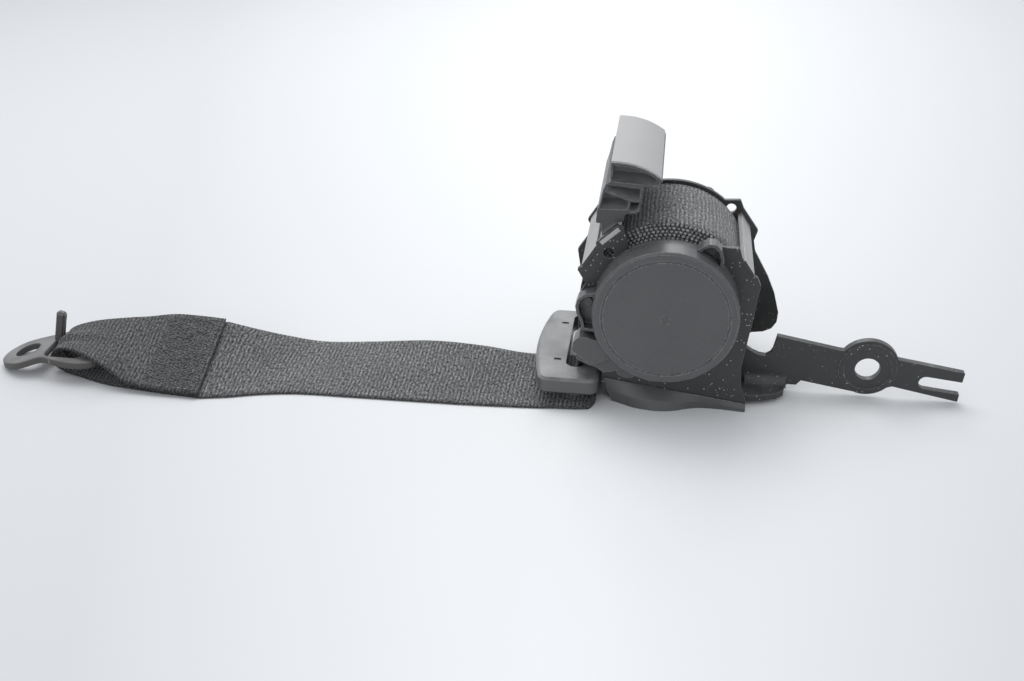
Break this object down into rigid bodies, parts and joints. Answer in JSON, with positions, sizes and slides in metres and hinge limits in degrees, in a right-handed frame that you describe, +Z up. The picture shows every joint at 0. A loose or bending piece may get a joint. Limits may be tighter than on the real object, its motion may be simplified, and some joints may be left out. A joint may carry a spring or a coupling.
{
  "type": "seat belt",
  "caption": "Car seat belt: steel-framed retractor with round spring cover and web guide, bolt strap, wound webbing, latch tongue and a sewn-in floor anchor plate.",
  "frame": {"origin": "centre of the mounting strap's bolt hole, at half the strap's thickness", "axes": "+X along the belt from the anchor plate to the strap's fork, +Y along the bolt hole and the spool from the spring cover to the lock mechanism, +Z up from the surface the belt lies on, which is at Z -0.0154 m"},
  "size_m": [0.4458, 0.0936, 0.1129],
  "materials": {
    "black_steel": "thin black paint, satin, dusty",
    "anchor_steel": "dull dark grey coat, lightly soiled",
    "plated_steel": "zinc plated, dull",
    "polished_steel": "bright plated",
    "cast_alloy": "as cast",
    "pale_plastic": "satin",
    "black_plastic": "fine grain, satin",
    "grey_plastic": "satin, slightly glossy",
    "webbing": "woven polyester, ribbed lengthways"
  },
  "bodies": {
    "retractor": {"frame": "black_steel", "bush_near": "pale_plastic", "bush_far": "pale_plastic", "tie_plate_left": "plated_steel", "tie_plate_right": "plated_steel", "tie_plate_upper": "plated_steel", "spring_cover_base": "black_plastic", "spring_cover_cap": "black_plastic", "return_spring": "plated_steel", "cover_rivets": "black_plastic", "lower_shroud": "black_plastic", "edge_guard": "black_plastic", "pawl_pin": "plated_steel", "sensor_housing": "pale_plastic", "sensor_ball": "polished_steel", "lever_pin": "plated_steel", "mechanism_cover": "black_plastic", "cover_screws": "plated_steel", "web_guide": "black_plastic", "guide_cap": "pale_plastic", "mounting_strap": "black_steel", "strap_rivets": "plated_steel", "webbing_drop": "webbing", "webbing_strand": "webbing", "webbing_loop": "webbing"},
    "spool": {"spool": "cast_alloy", "torsion_bar": "plated_steel", "webbing_roll": "webbing", "spring_arbor": "pale_plastic", "lock_ratchet": "plated_steel", "control_disc": "pale_plastic"},
    "lock_pawl": {"lock_pawl": "plated_steel"},
    "sensor_lever": {"sensor_lever": "pale_plastic"},
    "tongue": {"tongue_plate": "polished_steel", "tongue_body": "grey_plastic"},
    "anchor": {"anchor_plate": "anchor_steel"}
  },
  "joints": [
    {"name": "spool_spin", "type": "hinge", "parent": "retractor", "child": "spool", "pos_m": [-0.0917, 0.008, 0.0349], "axis": [0, 1, 0], "continuous": true},
    {"name": "pawl_swing", "type": "hinge", "parent": "retractor", "child": "lock_pawl", "pos_m": [-0.11381, 0.0371, 0.02856], "axis": [0, -1, 0], "range_deg": [0, 7.5], "stiffness_Nm_per_rad": 0.002, "springref_deg": -17.19},
    {"name": "lever_swing", "type": "hinge", "parent": "retractor", "child": "sensor_lever", "pos_m": [-0.1047, 0.0401, 0.0116], "axis": [0, -1, 0], "range_deg": [0, 7.5]},
    {"name": "tongue_slide", "type": "slide", "parent": "retractor", "child": "tongue", "axis": [-1, 0, 0], "range_m": [0, 0.055], "deforming": ["webbing_drop"]},
    {"name": "anchor_swing", "type": "hinge", "parent": "retractor", "child": "anchor", "pos_m": [-0.35445, -0.0237, -0.00647], "axis": [0, 1, 0], "range_deg": [0, 16]}
  ]
}
